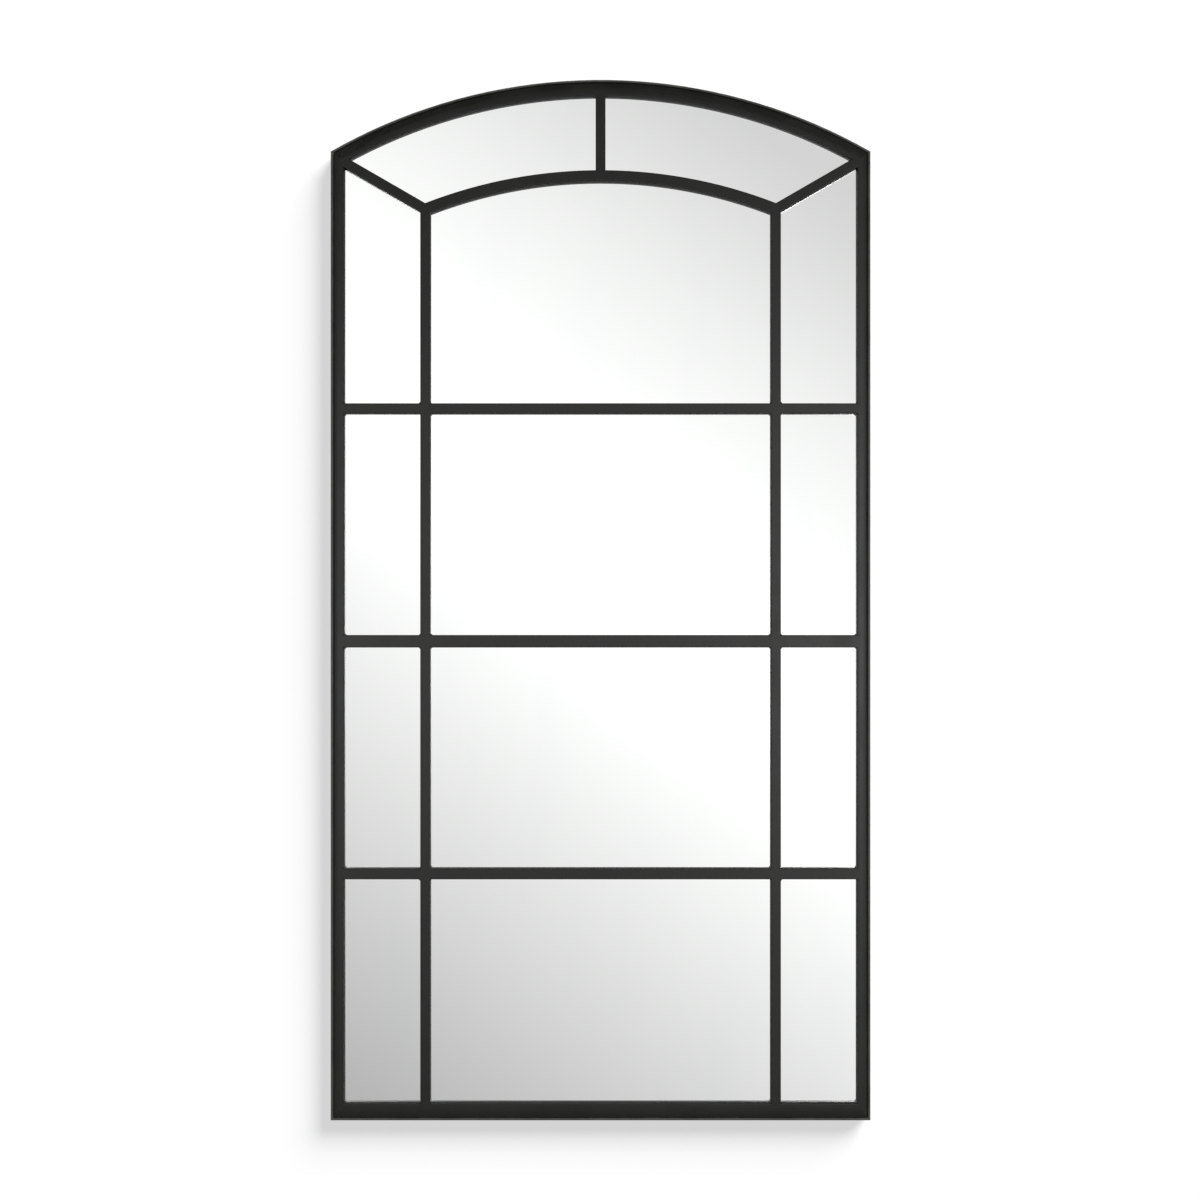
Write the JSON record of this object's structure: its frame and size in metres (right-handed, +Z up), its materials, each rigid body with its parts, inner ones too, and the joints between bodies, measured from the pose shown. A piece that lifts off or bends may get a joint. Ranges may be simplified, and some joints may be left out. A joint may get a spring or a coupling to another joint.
{
  "type": "arched window mirror",
  "caption": "Tall wall mirror with a segmental arched steel frame and a grille of glazing bars over one mirror sheet, hung by two D-rings.",
  "frame": {"origin": "under the middle of the frame, at its bottom edge and half way through its depth", "axes": "+X to the viewer's right, +Y towards the wall (the front faces -Y), +Z up as the mirror hangs"},
  "size_m": [1.041, 0.037, 2.0069],
  "materials": {
    "black_steel": "satin black paint on welded mild steel",
    "mirror": "4 mm silvered glass",
    "board": "bare MDF",
    "foam_tape": "black glazing foam",
    "bumper_rubber": "black moulded rubber",
    "zinc_plated_steel": "bright zinc plate"
  },
  "bodies": {
    "mirror": {"arch_edge_band": "black_steel", "arch_rail": "black_steel", "backing_board": "board", "board_clips": "zinc_plated_steel", "bottom_edge_band": "black_steel", "bottom_rail": "black_steel", "corner_welds": "black_steel", "glazing_tape": "foam_tape", "hanger_screws": "zinc_plated_steel", "inner_arch_bar": "black_steel", "king_bar": "black_steel", "left_corner_gusset": "black_steel", "left_diagonal": "black_steel", "left_edge_band": "black_steel", "left_hanger_plate": "black_steel", "left_hanger_strap": "zinc_plated_steel", "left_mullion": "black_steel", "left_stile": "black_steel", "lower_transom_centre": "black_steel", "lower_transom_left": "black_steel", "lower_transom_right": "black_steel", "middle_transom_centre": "black_steel", "middle_transom_left": "black_steel", "middle_transom_right": "black_steel", "mirror_glass": "mirror", "right_corner_gusset": "black_steel", "right_diagonal": "black_steel", "right_edge_band": "black_steel", "right_hanger_plate": "black_steel", "right_hanger_strap": "zinc_plated_steel", "right_mullion": "black_steel", "right_stile": "black_steel", "upper_transom_centre": "black_steel", "upper_transom_left": "black_steel", "upper_transom_right": "black_steel", "wall_bumpers": "bumper_rubber"},
    "left_ring": {"left_d_ring": "zinc_plated_steel"},
    "right_ring": {"right_d_ring": "zinc_plated_steel"}
  },
  "joints": [
    {"name": "left_ring_swing", "type": "hinge", "parent": "mirror", "child": "left_ring", "pos_m": [-0.4835, 0.01105, 1.6], "axis": [-1, 0, 0], "range_deg": [0, 170]},
    {"name": "right_ring_swing", "type": "hinge", "parent": "mirror", "child": "right_ring", "pos_m": [0.4835, 0.01105, 1.6], "axis": [-1, 0, 0], "range_deg": [0, 170]}
  ]
}
